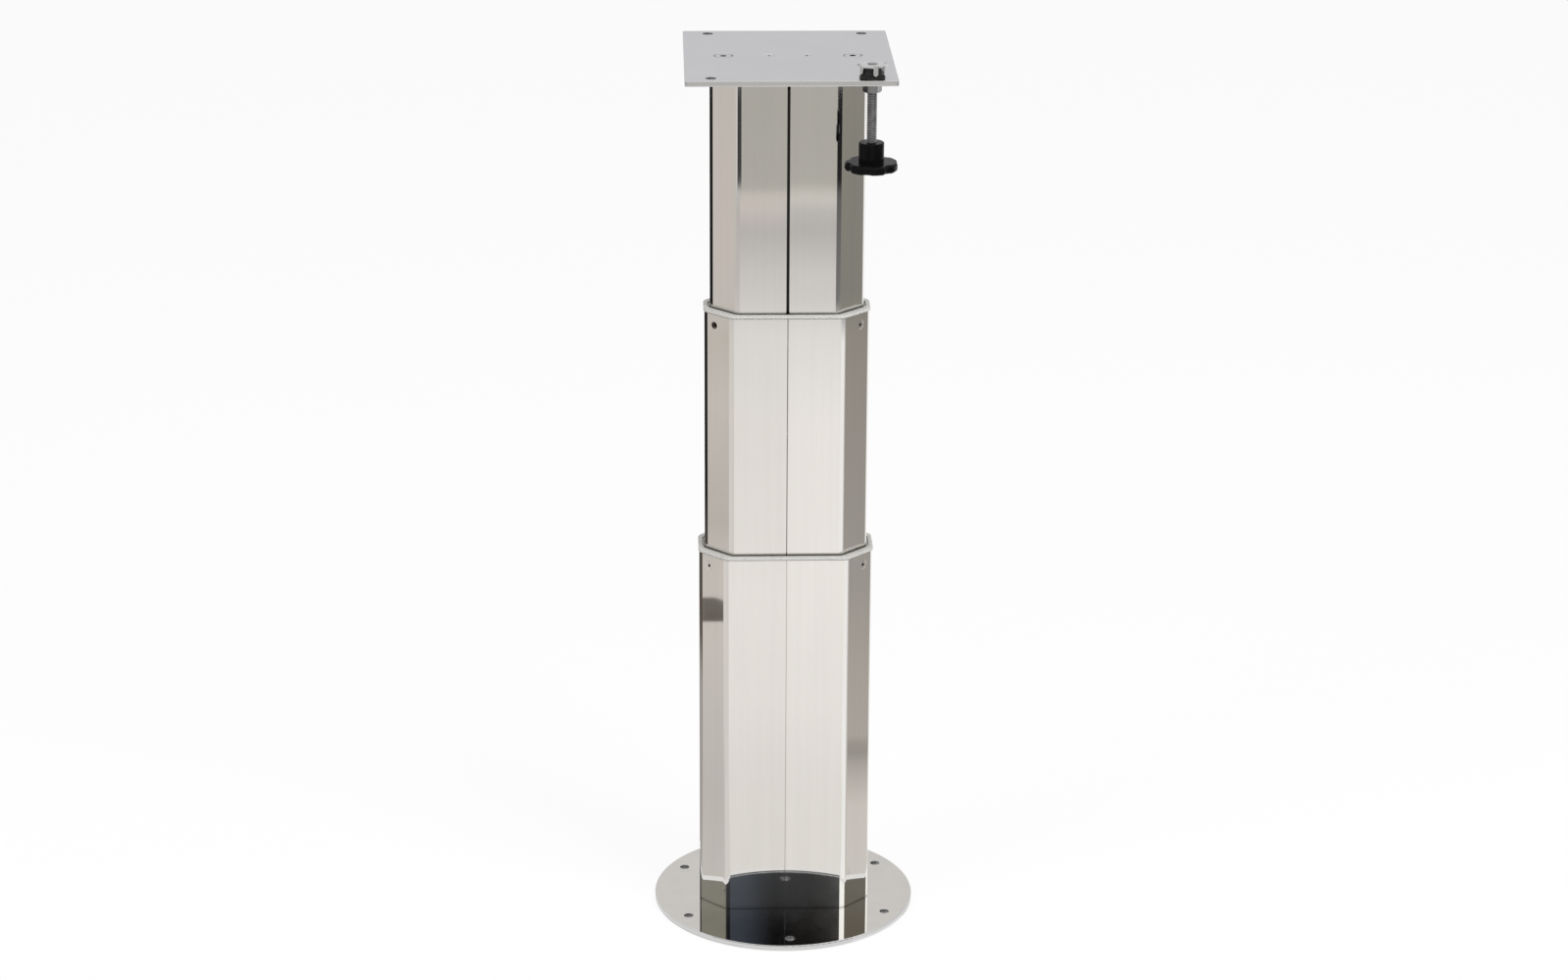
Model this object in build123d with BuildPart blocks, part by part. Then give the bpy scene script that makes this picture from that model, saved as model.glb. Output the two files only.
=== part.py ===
from build123d import *
from dataclasses import dataclass
from math import cos, radians, tan
import os

# Height adjustable table leg: three nested stages of folded sheet steel on a round base plate.
# Origin at the centre of the base plate's underside, +Z up, +X to the right seen from the front.
# The front is the -Y side. All dimensions are in millimetres, and the leg is drawn fully extended.

# Overall heights
total_height = 736.0
lower_collar_top = 324.0
middle_collar_top = 530.0
stage_overlap = 104.0

# Plates
base_diameter = 220.0
base_thickness = 5.0
base_edge_radius = 0.8
base_hole_count = 6
base_hole_circle = 192.0
base_hole_diameter = 8.0
base_hole_turn = 31.5
top_width = 166.0
top_depth = 180.0
top_thickness = 4.5
top_corner_radius = 2.0
top_edge_radius = 0.8
corner_hole_diameter = 8.6
corner_hole_side_inset = 20.3
corner_hole_end_inset = 10.5

# Column sections: a flattened octagon folded from sheet
lower_half_width = 71.5
lower_half_depth = 38.0
stage_step = 4.5
wall = 2.0
corner_leg = 21.7
bend_radius = 8.0
open_seam = 2.2
middle_seam = 0.4
weld_groove = 0.35
foot_rebate_depth = 0.5
foot_rebate_height = 0.6

# Clearances
running_gap = 0.35
fitted_gap = 0.05

# Glide collars and foot glides
collar_flange = 3.2
collar_overhang = 0.9
collar_edge_radius = 0.9
collar_neck_height = 0.8
collar_neck_inset = 0.6
collar_skirt = 25.0
wiper_groove_width = 1.8
wiper_groove_depth = 1.6
foot_glide_height = 22.0
foot_lip = 2.0
foot_lip_width = 7.0
pip_diameter = 5.0
pip_length = 1.6
pip_height = 12.0

# Screws through the corner faces, at a share of the face's width from its side edge
screw_share = 0.36
screw_drop = 9.0
collar_screw_diameter = 4.0
collar_screw_length = 5.3
collar_screw_head = 7.4
collar_screw_sink = 0.2
grub_hole_diameter = 6.0
grub_diameter = 5.0
grub_length = 4.0
grub_recess = 1.4
socket_across_flats = 2.5
socket_depth = 1.3
head_socket_share = 0.7

# Brackets and bridge
bracket_sheet = 3.0
bracket_leg_sheet = 2.0
base_bracket_leg_width = 24.0
base_bracket_leg_top = 20.0
top_bracket_leg_width = 7.0
top_bracket_leg_length = 30.0
bridge_thickness = 4.0
base_screw_x = 45.0
base_screw_y = 18.0
base_screw_diameter = 6.0
base_screw_head = 11.6
base_screw_length = 14.0
base_screw_socket = 4.0
bridge_slot_length = 24.0
bridge_slot_width = 10.0
nut_6_across_flats = 10.0
nut_6_height = 5.0

# Screws on the centre line of the top plate
plate_screw_x = 51.5
plate_screw_diameter = 8.0
plate_screw_head = 15.6
plate_screw_length = 20.0
plate_screw_socket = 5.0
nut_8_across_flats = 13.0
nut_8_height = 6.5
small_screw_diameter = 4.0
small_screw_head = 7.8
small_screw_length = 12.0
small_screw_socket = 2.5
plate_screw_sink = 0.3
nut_4_across_flats = 7.0
nut_4_height = 3.2
nut_face_share = 0.95
nut_cone_reach = 0.5
seam_strip_width = 16.0
seam_strip_sheet = 1.2
seam_strip_end_gap = 14.0

# Gas springs, one on each side of the centre
spring_x = 15.0
cylinder_diameter = 22.0
cylinder_wall = 1.5
cylinder_length = 295.0
cylinder_end = 2.5
cylinder_end_radius = 2.0
guide_length = 12.0
guide_bore_gap = 0.08
guide_neck_diameter = 14.0
piston_length = 10.0
piston_gap = 0.3
piston_park = 3.0
piston_groove_start = 0.35
piston_groove_end = 0.65
piston_groove_depth = 1.2
rod_diameter = 8.0
rod_stub_diameter = 6.0
rod_stub_length = 6.0
stud_length = 12.0
neck_nut_across_flats = 19.0
neck_nut_height = 4.0

# Hand screw at the front right corner hole
hand_rod_diameter = 8.0
hand_rod_bottom = 667.0
hand_rod_top = 747.6
hand_rod_chamfer = 0.6
hand_nut_turn = 30.0
thread_gap = 0.08
knob_bottom = 662.5
knob_disc_thickness = 7.0
knob_diameter = 42.0
knob_lobes = 7
knob_scallop_radius = 7.0
knob_scallop_depth = 1.8
knob_lobe_radius = 2.5
knob_edge_radius = 2.2
knob_hub_diameter = 20.0
knob_hub_height = 15.5
knob_hub_edge = 0.8
knob_recess_diameter = 22.0
knob_recess_depth = 1.2
bush_diameter = 20.0
bush_rim_height = 2.2
bush_floor = 2.5
bush_cone_foot = 16.0
bush_cone_top = 13.4
bush_edge = 0.6
tee_barrel_diameter = 10.2
tee_barrel_height = 7.5
tee_flange_diameter = 24.0
tee_flange_thickness = 1.2
tee_prong_count = 4
tee_prong_width = 3.8
tee_prong_point = 1.4
tee_prong_length = 7.3
tee_prong_radius = 8.4
tee_prong_turn = 13.0


@dataclass
class Stage:
    """One telescopic stage of the column: half sizes of its outer outline and its end heights."""

    half_width: float
    half_depth: float
    bottom: float
    top: float
    seam_gap: float


plate_underside = total_height - top_thickness
lower = Stage(
    lower_half_width, lower_half_depth, base_thickness, lower_collar_top - collar_flange, 0.0
)
middle = Stage(
    lower.half_width - stage_step,
    lower.half_depth - stage_step,
    lower_collar_top - stage_overlap,
    middle_collar_top - collar_flange,
    middle_seam,
)
upper = Stage(
    middle.half_width - stage_step,
    middle.half_depth - stage_step,
    middle_collar_top - stage_overlap,
    plate_underside,
    open_seam,
)
cylinder_bottom = middle.bottom
cylinder_top = cylinder_bottom + cylinder_length
hand_x = top_width / 2 - corner_hole_side_inset
hand_y = corner_hole_end_inset - top_depth / 2


def outline(stage, grow=0.0):
    """Flattened octagon of a stage with bent corners, grown outward, or inward when negative."""
    with BuildSketch() as section:
        Rectangle(2 * stage.half_width, 2 * stage.half_depth)
        chamfer(section.vertices(), corner_leg)
        fillet(section.vertices(), bend_radius)
        if grow:
            offset(amount=grow)
    return section.sketch


def corner_planes(stage, height, sides=(-1, 1)):
    """Planes on the corner faces at one height, with z pointing out of the face."""
    planes = []
    for side in sides:
        for end in (-1, 1):
            x = side * (stage.half_width - screw_share * corner_leg)
            y = end * (stage.half_depth - (1 - screw_share) * corner_leg)
            planes.append(Plane(origin=(x, y, height), x_dir=(0, 0, 1), z_dir=(side, end, 0)))
    return planes


def sunk(planes, depth):
    """The same planes, moved into the material by a depth."""
    return [plane.offset(-depth) for plane in planes]


def upright_plane(x, y=0.0):
    """Upright plane through a vertical axis, for the half section of a turned piece."""
    return Plane(origin=(x, y, 0), x_dir=(1, 0, 0), z_dir=(0, -1, 0))


def turned(points, x, y=0.0):
    """Solid turned about the vertical line at x, y from a half section of radius, height points."""
    with BuildPart() as piece:
        with BuildSketch(upright_plane(x, y)):
            with BuildLine():
                Polyline(*points, close=True)
            make_face()
        revolve(axis=Axis((x, y, 0), (0, 0, 1)))
    return piece.part


def half_shell(stage, side, holes):
    """Left (-1) or right (1) folded half of a stage; holes gives height, diameter, head diameter."""
    with BuildPart() as shell:
        with BuildSketch(Plane.XY.offset(stage.bottom)):
            add(outline(stage))
            add(outline(stage, -wall), mode=Mode.SUBTRACT)
        extrude(amount=stage.top - stage.bottom)
        seam_plane = Plane(origin=(side * stage.seam_gap / 2, 0, 0), z_dir=(side, 0, 0))
        split(bisect_by=seam_plane, keep=Keep.TOP)
        seam_edges = shell.edges().filter_by(Axis.Z).sort_by(Axis((0, 0, 0), (side, 0, 0)))[:4]
        outer_edges = seam_edges.sort_by(Axis.Y)
        chamfer([outer_edges[0], outer_edges[-1]], weld_groove)
        for height, diameter, head_diameter in holes:
            with Locations(*corner_planes(stage, height, (side,))):
                if head_diameter:
                    CounterSinkHole(
                        diameter / 2 + fitted_gap,
                        head_diameter / 2 + fitted_gap + collar_screw_sink,
                        2 * wall,
                        counter_sink_angle=90,
                    )
                else:
                    Cylinder(diameter / 2 + fitted_gap, 4 * wall, mode=Mode.SUBTRACT)
    return shell.part


def glide_collar(stage, inner_stage, screw_height, left_diameter, right_diameter):
    """Moulded ring on top of a stage: a flange over the tube's end and a skirt inside the tube."""
    with BuildPart() as collar:
        with BuildSketch(Plane.XY.offset(stage.top + collar_neck_height)):
            add(outline(stage, collar_overhang))
        extrude(amount=collar_flange - collar_neck_height)
        fillet(collar.faces().sort_by(Axis.Z)[-1].edges(), collar_edge_radius)
        with BuildSketch(Plane.XY.offset(stage.top)):
            add(outline(stage, -collar_neck_inset))
        extrude(amount=collar_neck_height)
        with BuildSketch(Plane.XY.offset(stage.top)):
            add(outline(stage, -wall - fitted_gap))
        extrude(amount=-collar_skirt)
        with BuildSketch(Plane.XY.offset(stage.top - collar_skirt)):
            add(outline(inner_stage, running_gap))
        extrude(amount=collar_skirt + collar_flange, mode=Mode.SUBTRACT)
        with BuildSketch(Plane.XY.offset(stage.top + collar_flange)):
            add(outline(inner_stage, running_gap + wiper_groove_width))
        extrude(amount=-wiper_groove_depth, mode=Mode.SUBTRACT)
        for side, diameter in ((-1, left_diameter), (1, right_diameter)):
            with Locations(*corner_planes(stage, screw_height, (side,))):
                Hole(diameter / 2 + fitted_gap, 2 * stage_step + wall)
    return collar.part


def foot_glide(stage, outer_stage, foot_bottom):
    """Moulded ring round a stage's lower end, with a lip below it and a pip in each corner hole."""
    with BuildPart() as glide:
        with BuildSketch(Plane.XY.offset(foot_bottom - foot_lip)):
            add(outline(outer_stage, -wall - running_gap))
            add(outline(stage, -foot_lip_width), mode=Mode.SUBTRACT)
        extrude(amount=foot_lip)
        with BuildSketch(Plane.XY.offset(foot_bottom)):
            add(outline(outer_stage, -wall - running_gap))
            add(outline(stage, fitted_gap), mode=Mode.SUBTRACT)
        extrude(amount=foot_glide_height)
        for plane in corner_planes(stage, stage.bottom + pip_height):
            with BuildSketch(plane.offset(2 * fitted_gap)):
                Circle(pip_diameter / 2)
            extrude(amount=-pip_length)
    return glide.part


def grub_screw():
    """Headless screw whose outer end lies below z = 0 by the recess."""
    with BuildPart() as screw:
        with BuildSketch(Plane.XY.offset(-grub_recess)):
            Circle(grub_diameter / 2)
        extrude(amount=-grub_length)
        with BuildSketch(Plane.XY.offset(-grub_recess)):
            RegularPolygon(socket_across_flats / 2, 6, major_radius=False)
        extrude(amount=-socket_depth, mode=Mode.SUBTRACT)
    return screw.part


def countersunk_screw(diameter, head_diameter, length, socket):
    """Countersunk screw with its flat head flush with z = 0 and its shank below."""
    cone = (head_diameter - diameter) / 2
    with BuildPart() as screw:
        with BuildSketch(Plane.XZ):
            with BuildLine():
                Polyline(
                    (0, 0),
                    (head_diameter / 2, 0),
                    (diameter / 2, -cone),
                    (diameter / 2, -length),
                    (0, -length),
                    close=True,
                )
            make_face()
        revolve(axis=Axis.Z)
        with BuildSketch(Plane.XY):
            RegularPolygon(socket / 2, 6, major_radius=False)
        extrude(amount=-cone * head_socket_share, mode=Mode.SUBTRACT)
    return screw.part


def hexagon_nut(across_flats, height, bore_diameter):
    """Hexagon nut standing on z = 0, with its corners turned down at both ends."""
    face_radius = nut_face_share * across_flats / 2
    cone_radius = across_flats / 2 / cos(radians(30)) + nut_cone_reach
    cone_rise = (cone_radius - face_radius) * tan(radians(30))
    with BuildPart() as nut:
        with BuildSketch():
            RegularPolygon(across_flats / 2, 6, major_radius=False, rotation=30)
        extrude(amount=height)
        with BuildSketch(Plane.XZ):
            with BuildLine():
                Polyline(
                    (0, 0),
                    (face_radius, 0),
                    (cone_radius, cone_rise),
                    (cone_radius, height - cone_rise),
                    (face_radius, height),
                    (0, height),
                    close=True,
                )
            make_face()
        revolve(axis=Axis.Z, mode=Mode.INTERSECT)
        with BuildSketch():
            Circle(bore_diameter / 2)
        extrude(amount=height, mode=Mode.SUBTRACT)
    return nut.part


def group(piece, places):
    """The same fastener at several places, as separate solids of one group."""
    with BuildPart() as fasteners:
        with Locations(*places):
            add(piece)
    return fasteners.part


def save(piece, label):
    """Write one labelled piece to its own file."""
    piece.label = label
    export_step(piece, f"parts/{label}.step")


os.makedirs("parts", exist_ok=True)

# Base plate: a turned disc with six fixing holes and countersinks below for the bracket screws
with BuildPart() as base_plate:
    with BuildSketch():
        Circle(base_diameter / 2)
    extrude(amount=base_thickness)
    fillet(base_plate.edges(), base_edge_radius)
    with PolarLocations(base_hole_circle / 2, base_hole_count, start_angle=base_hole_turn):
        Hole(base_hole_diameter / 2)
    with Locations(Plane(origin=(0, 0, 0), z_dir=(0, 0, -1))):
        with GridLocations(2 * base_screw_x, 2 * base_screw_y, 2, 2):
            CounterSinkHole(
                base_screw_diameter / 2 + fitted_gap,
                base_screw_head / 2 + fitted_gap,
                counter_sink_angle=90,
            )
    with Locations((-spring_x, 0, base_thickness)):
        Hole(rod_stub_diameter / 2 + fitted_gap, rod_stub_length - bracket_sheet + fitted_gap)
save(base_plate.part, "base_plate")

# Base bracket: a folded channel on the base plate, its two legs against the side walls
with BuildPart() as base_bracket:
    with BuildSketch(Plane.XY.offset(base_thickness)):
        add(outline(lower, -wall - fitted_gap))
    extrude(amount=bracket_sheet)
    with BuildSketch(Plane.XY.offset(base_thickness)):
        leg_x = lower.half_width - wall - bracket_leg_sheet / 2
        with Locations((-leg_x, 0), (leg_x, 0)):
            Rectangle(bracket_leg_sheet, base_bracket_leg_width)
    extrude(amount=base_bracket_leg_top - base_thickness)
    with Locations((0, 0, base_thickness + bracket_sheet)):
        with GridLocations(2 * base_screw_x, 2 * base_screw_y, 2, 2):
            Hole(base_screw_diameter / 2 + fitted_gap, bracket_sheet)
    with Locations((-spring_x, 0, base_thickness + bracket_sheet)):
        Hole(rod_stub_diameter / 2 + fitted_gap, bracket_sheet)
save(base_bracket.part, "base_bracket")

base_screw_points = [
    (x, y) for x in (-base_screw_x, base_screw_x) for y in (-base_screw_y, base_screw_y)
]
base_screws = group(
    countersunk_screw(
        base_screw_diameter, base_screw_head, base_screw_length, base_screw_socket
    ),
    [Plane(origin=(x, y, 0), z_dir=(0, 0, -1)) for x, y in base_screw_points],
)
save(base_screws, "base_screws")

base_nuts = group(
    hexagon_nut(nut_6_across_flats, nut_6_height, base_screw_diameter + 2 * fitted_gap),
    [(x, y, base_thickness + bracket_sheet) for x, y in base_screw_points],
)
save(base_nuts, "base_screw_nuts")

# Lower stage: two folded halves butted on the centre line, and the collar that guides the middle
lower_screw_height = lower.top - screw_drop
screw_hole = (collar_screw_diameter, collar_screw_head)
for side, word in ((-1, "left"), (1, "right")):
    with BuildPart() as lower_shell:
        add(half_shell(lower, side, [(lower_screw_height, *screw_hole)]))
        with BuildSketch(Plane.XY.offset(lower.bottom)):
            add(outline(lower, wall))
            add(outline(lower, -foot_rebate_depth), mode=Mode.SUBTRACT)
        extrude(amount=foot_rebate_height, mode=Mode.SUBTRACT)
    save(lower_shell.part, f"lower_{word}_shell")

collar_screw = countersunk_screw(
    collar_screw_diameter, collar_screw_head, collar_screw_length, socket_across_flats
)
lower_collar = glide_collar(
    lower, middle, lower_screw_height, collar_screw_diameter, collar_screw_diameter
)
save(lower_collar, "lower_collar")
lower_collar_screws = group(
    collar_screw, sunk(corner_planes(lower, lower_screw_height), collar_screw_sink)
)
save(lower_collar_screws, "lower_collar_screws")

# Middle stage: folded halves on a welded bridge plate that carries both gas springs
middle_screw_height = middle.top - screw_drop
pip_hole = (pip_diameter, None)
for side, word, hole in ((-1, "left", (grub_hole_diameter, None)), (1, "right", screw_hole)):
    middle_shell = half_shell(
        middle, side, [(middle_screw_height, *hole), (middle.bottom + pip_height, *pip_hole)]
    )
    save(middle_shell, f"middle_{word}_shell")

middle_collar = glide_collar(
    middle, upper, middle_screw_height, grub_diameter, collar_screw_diameter
)
save(middle_collar, "middle_collar")

# Fixing screws on the right, grub screws that take up the play on the left
middle_collar_screws = group(
    collar_screw, sunk(corner_planes(middle, middle_screw_height, (1,)), collar_screw_sink)
)
save(middle_collar_screws, "middle_collar_screws")
middle_grub_screws = group(grub_screw(), corner_planes(middle, middle_screw_height, (-1,)))
save(middle_grub_screws, "middle_grub_screws")

bridge_bottom = middle.bottom - bridge_thickness
with BuildPart() as bridge_plate:
    with BuildSketch(Plane.XY.offset(bridge_bottom)):
        add(outline(middle))
        with Locations((-spring_x, 0)):
            Circle(guide_neck_diameter / 2 + fitted_gap, mode=Mode.SUBTRACT)
        with Locations((spring_x, 0)):
            Circle(rod_diameter / 2 + fitted_gap, mode=Mode.SUBTRACT)
        with GridLocations(2 * base_screw_x, 0, 2, 1):
            SlotOverall(bridge_slot_length, bridge_slot_width, rotation=90, mode=Mode.SUBTRACT)
    extrude(amount=bridge_thickness)
save(bridge_plate.part, "bridge_plate")

middle_foot_glide = foot_glide(middle, lower, bridge_bottom)
save(middle_foot_glide, "middle_foot_glide")

# Upper stage: folded halves with an open seam, joined by strips inside and by the top bracket
for side, word in ((-1, "left"), (1, "right")):
    upper_shell = half_shell(upper, side, [(upper.bottom + pip_height, *pip_hole)])
    save(upper_shell, f"upper_{word}_shell")

with BuildPart() as upper_seam_strips:
    strip_y = upper.half_depth - wall - seam_strip_sheet / 2
    strip_bottom = upper.bottom + seam_strip_end_gap
    strip_top = upper.top - bracket_sheet - seam_strip_end_gap
    with BuildSketch(Plane.XY.offset(strip_bottom)):
        with Locations((0, -strip_y), (0, strip_y)):
            Rectangle(seam_strip_width, seam_strip_sheet)
    extrude(amount=strip_top - strip_bottom)
save(upper_seam_strips.part, "upper_seam_strips")

upper_foot_glide = foot_glide(upper, middle, upper.bottom)
save(upper_foot_glide, "upper_foot_glide")

# Top bracket: a folded channel under the top plate, its two legs against the side walls
bracket_bottom = plate_underside - bracket_sheet
with BuildPart() as top_bracket:
    with BuildSketch(Plane.XY.offset(bracket_bottom)):
        add(outline(upper, -wall - fitted_gap))
    extrude(amount=bracket_sheet)
    with BuildSketch(Plane.XY.offset(plate_underside - top_bracket_leg_length)):
        leg_x = upper.half_width - wall - bracket_leg_sheet / 2
        with Locations((-leg_x, 0), (leg_x, 0)):
            Rectangle(bracket_leg_sheet, top_bracket_leg_width)
    extrude(amount=top_bracket_leg_length)
    with Locations((-plate_screw_x, 0, plate_underside), (plate_screw_x, 0, plate_underside)):
        Hole(plate_screw_diameter / 2 + fitted_gap, bracket_sheet)
    with Locations((-spring_x, 0, plate_underside), (spring_x, 0, plate_underside)):
        Hole(small_screw_diameter / 2 + fitted_gap, bracket_sheet)
save(top_bracket.part, "top_bracket")

# Top plate: four corner holes and the countersunk holes of the centre line
with BuildPart() as top_plate:
    with BuildSketch(Plane.XY.offset(plate_underside)):
        RectangleRounded(top_width, top_depth, top_corner_radius)
    extrude(amount=top_thickness)
    fillet(top_plate.faces().sort_by(Axis.Z)[0].edges(), top_edge_radius)
    fillet(top_plate.faces().sort_by(Axis.Z)[-1].edges(), top_edge_radius / 2)
    with Locations((0, 0, total_height)):
        hole_span_x = top_width - 2 * corner_hole_side_inset
        hole_span_y = top_depth - 2 * corner_hole_end_inset
        with GridLocations(hole_span_x, hole_span_y, 2, 2):
            Hole(corner_hole_diameter / 2)
        with GridLocations(2 * plate_screw_x, 0, 2, 1):
            CounterSinkHole(
                plate_screw_diameter / 2 + fitted_gap,
                plate_screw_head / 2 + fitted_gap + plate_screw_sink,
                counter_sink_angle=90,
            )
        with GridLocations(2 * spring_x, 0, 2, 1):
            CounterSinkHole(
                small_screw_diameter / 2 + fitted_gap,
                small_screw_head / 2 + fitted_gap + plate_screw_sink,
                counter_sink_angle=90,
            )
save(top_plate.part, "top_plate")

plate_screws = group(
    countersunk_screw(
        plate_screw_diameter, plate_screw_head, plate_screw_length, plate_screw_socket
    ),
    [(x, 0, total_height - plate_screw_sink) for x in (-plate_screw_x, plate_screw_x)],
)
save(plate_screws, "plate_screws")

small_plate_screws = group(
    countersunk_screw(
        small_screw_diameter, small_screw_head, small_screw_length, small_screw_socket
    ),
    [(x, 0, total_height - plate_screw_sink) for x in (-spring_x, spring_x)],
)
save(small_plate_screws, "small_plate_screws")

plate_screw_nuts = group(
    hexagon_nut(nut_8_across_flats, nut_8_height, plate_screw_diameter + 2 * fitted_gap),
    [(x, 0, bracket_bottom - nut_8_height) for x in (-plate_screw_x, plate_screw_x)],
)
save(plate_screw_nuts, "plate_screw_nuts")

small_screw_nut = group(
    hexagon_nut(nut_4_across_flats, nut_4_height, small_screw_diameter + 2 * fitted_gap),
    [(-spring_x, 0, bracket_bottom - nut_4_height)],
)
save(small_screw_nut, "small_screw_nut")

# Lower gas spring: the cylinder hangs rod down in the middle stage, its rod stands on the base
cylinder_radius = cylinder_diameter / 2
bore_radius = cylinder_radius - cylinder_wall
rod_radius = rod_diameter / 2


def spring_cylinder(x, open_end, closed_end):
    """Gas spring tube between two heights, open at one end, closed and rounded at the other."""
    up = 1 if closed_end > open_end else -1
    with BuildPart() as tube:
        with BuildSketch(upright_plane(x)):
            with BuildLine():
                Polyline(
                    (cylinder_radius, closed_end),
                    (cylinder_radius, open_end),
                    (bore_radius, open_end),
                    (bore_radius, closed_end - up * cylinder_end),
                    (0, closed_end - up * cylinder_end),
                    (0, closed_end),
                    close=True,
                )
            make_face()
        revolve(axis=Axis((x, 0, 0), (0, 0, 1)))
        closed_faces = tube.faces().filter_by(GeomType.PLANE).sort_by(Axis.Z)
        closed_face = closed_faces[-1] if up > 0 else closed_faces[0]
        fillet(closed_face.edges(), cylinder_end_radius)
    return tube.part


save(spring_cylinder(-spring_x, cylinder_bottom, cylinder_top), "lower_spring_cylinder")

neck_bottom = bridge_bottom - neck_nut_height
guide_bore = rod_radius + guide_bore_gap
lower_spring_guide = turned(
    [
        (guide_bore, neck_bottom),
        (guide_neck_diameter / 2, neck_bottom),
        (guide_neck_diameter / 2, cylinder_bottom),
        (bore_radius - fitted_gap, cylinder_bottom),
        (bore_radius - fitted_gap, cylinder_bottom + guide_length),
        (guide_bore, cylinder_bottom + guide_length),
    ],
    -spring_x,
)
save(lower_spring_guide, "lower_spring_guide")

neck_nut = group(
    hexagon_nut(neck_nut_across_flats, neck_nut_height, guide_neck_diameter + 2 * fitted_gap),
    [(-spring_x, 0, neck_bottom)],
)
save(neck_nut, "lower_spring_nut")

lower_rod_foot = base_thickness + bracket_sheet
lower_piston_bottom = cylinder_bottom + guide_length + piston_park
lower_spring_rod = turned(
    [
        (0, lower_rod_foot - rod_stub_length),
        (rod_stub_diameter / 2, lower_rod_foot - rod_stub_length),
        (rod_stub_diameter / 2, lower_rod_foot),
        (rod_radius, lower_rod_foot),
        (rod_radius, lower_piston_bottom),
        (rod_stub_diameter / 2, lower_piston_bottom),
        (rod_stub_diameter / 2, lower_piston_bottom + piston_length),
        (0, lower_piston_bottom + piston_length),
    ],
    -spring_x,
)
save(lower_spring_rod, "lower_spring_rod")


def piston(x, bottom):
    """Turned piston ring with a sealing groove half way up."""
    radius = bore_radius - piston_gap
    groove_radius = radius - piston_groove_depth
    groove_bottom = bottom + piston_length * piston_groove_start
    groove_top = bottom + piston_length * piston_groove_end
    inner = rod_stub_diameter / 2 + fitted_gap
    return turned(
        [
            (inner, bottom),
            (radius, bottom),
            (radius, groove_bottom),
            (groove_radius, groove_bottom),
            (groove_radius, groove_top),
            (radius, groove_top),
            (radius, bottom + piston_length),
            (inner, bottom + piston_length),
        ],
        x,
    )


save(piston(-spring_x, lower_piston_bottom), "lower_spring_piston")

lower_rod_nut = group(
    hexagon_nut(nut_8_across_flats, nut_6_height, rod_diameter + 2 * fitted_gap),
    [(-spring_x, 0, lower_rod_foot)],
)
save(lower_rod_nut, "lower_rod_nut")

# Upper gas spring: the same cylinder the other way up, its rod screwed to the top bracket
with BuildPart() as upper_spring_cylinder:
    add(spring_cylinder(spring_x, cylinder_top, cylinder_bottom))
    with BuildSketch(Plane.XY.offset(cylinder_bottom)):
        with Locations((spring_x, 0)):
            Circle(rod_radius)
    extrude(amount=-stud_length)
save(upper_spring_cylinder.part, "upper_spring_cylinder")

upper_spring_nut = group(
    hexagon_nut(nut_8_across_flats, nut_8_height, rod_diameter + 2 * fitted_gap),
    [(spring_x, 0, bridge_bottom - nut_8_height)],
)
save(upper_spring_nut, "upper_spring_nut")

upper_spring_guide = turned(
    [
        (guide_bore, cylinder_top - guide_length),
        (bore_radius - fitted_gap, cylinder_top - guide_length),
        (bore_radius - fitted_gap, cylinder_top),
        (bore_radius + cylinder_wall / 2, cylinder_top),
        (bore_radius, cylinder_top + cylinder_wall),
        (guide_bore, cylinder_top + cylinder_wall),
    ],
    spring_x,
)
save(upper_spring_guide, "upper_spring_guide")

upper_piston_bottom = cylinder_top - guide_length - piston_park - piston_length
upper_rod_shoulder = upper_piston_bottom + piston_length
upper_spring_rod = turned(
    [
        (0, upper_piston_bottom),
        (rod_stub_diameter / 2, upper_piston_bottom),
        (rod_stub_diameter / 2, upper_rod_shoulder),
        (rod_radius, upper_rod_shoulder),
        (rod_radius, bracket_bottom),
        (small_screw_diameter / 2 + fitted_gap, bracket_bottom),
        (small_screw_diameter / 2 + fitted_gap, bracket_bottom - small_screw_length),
        (0, bracket_bottom - small_screw_length),
    ],
    spring_x,
)
save(upper_spring_rod, "upper_spring_rod")
save(piston(spring_x, upper_piston_bottom), "upper_spring_piston")

upper_rod_nut = group(
    hexagon_nut(nut_8_across_flats, nut_6_height, rod_diameter + 2 * fitted_gap),
    [(spring_x, 0, bracket_bottom - nut_6_height)],
)
save(upper_rod_nut, "upper_rod_nut")

# Hand screw: threaded rod with a lobed knob, hanging in the front right corner hole
hand_rod_radius = hand_rod_diameter / 2
hand_rod = turned(
    [
        (0, hand_rod_bottom),
        (hand_rod_radius, hand_rod_bottom),
        (hand_rod_radius, hand_rod_top - hand_rod_chamfer),
        (hand_rod_radius - hand_rod_chamfer, hand_rod_top),
        (0, hand_rod_top),
    ],
    hand_x,
    hand_y,
)
save(hand_rod, "hand_screw_rod")

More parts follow.
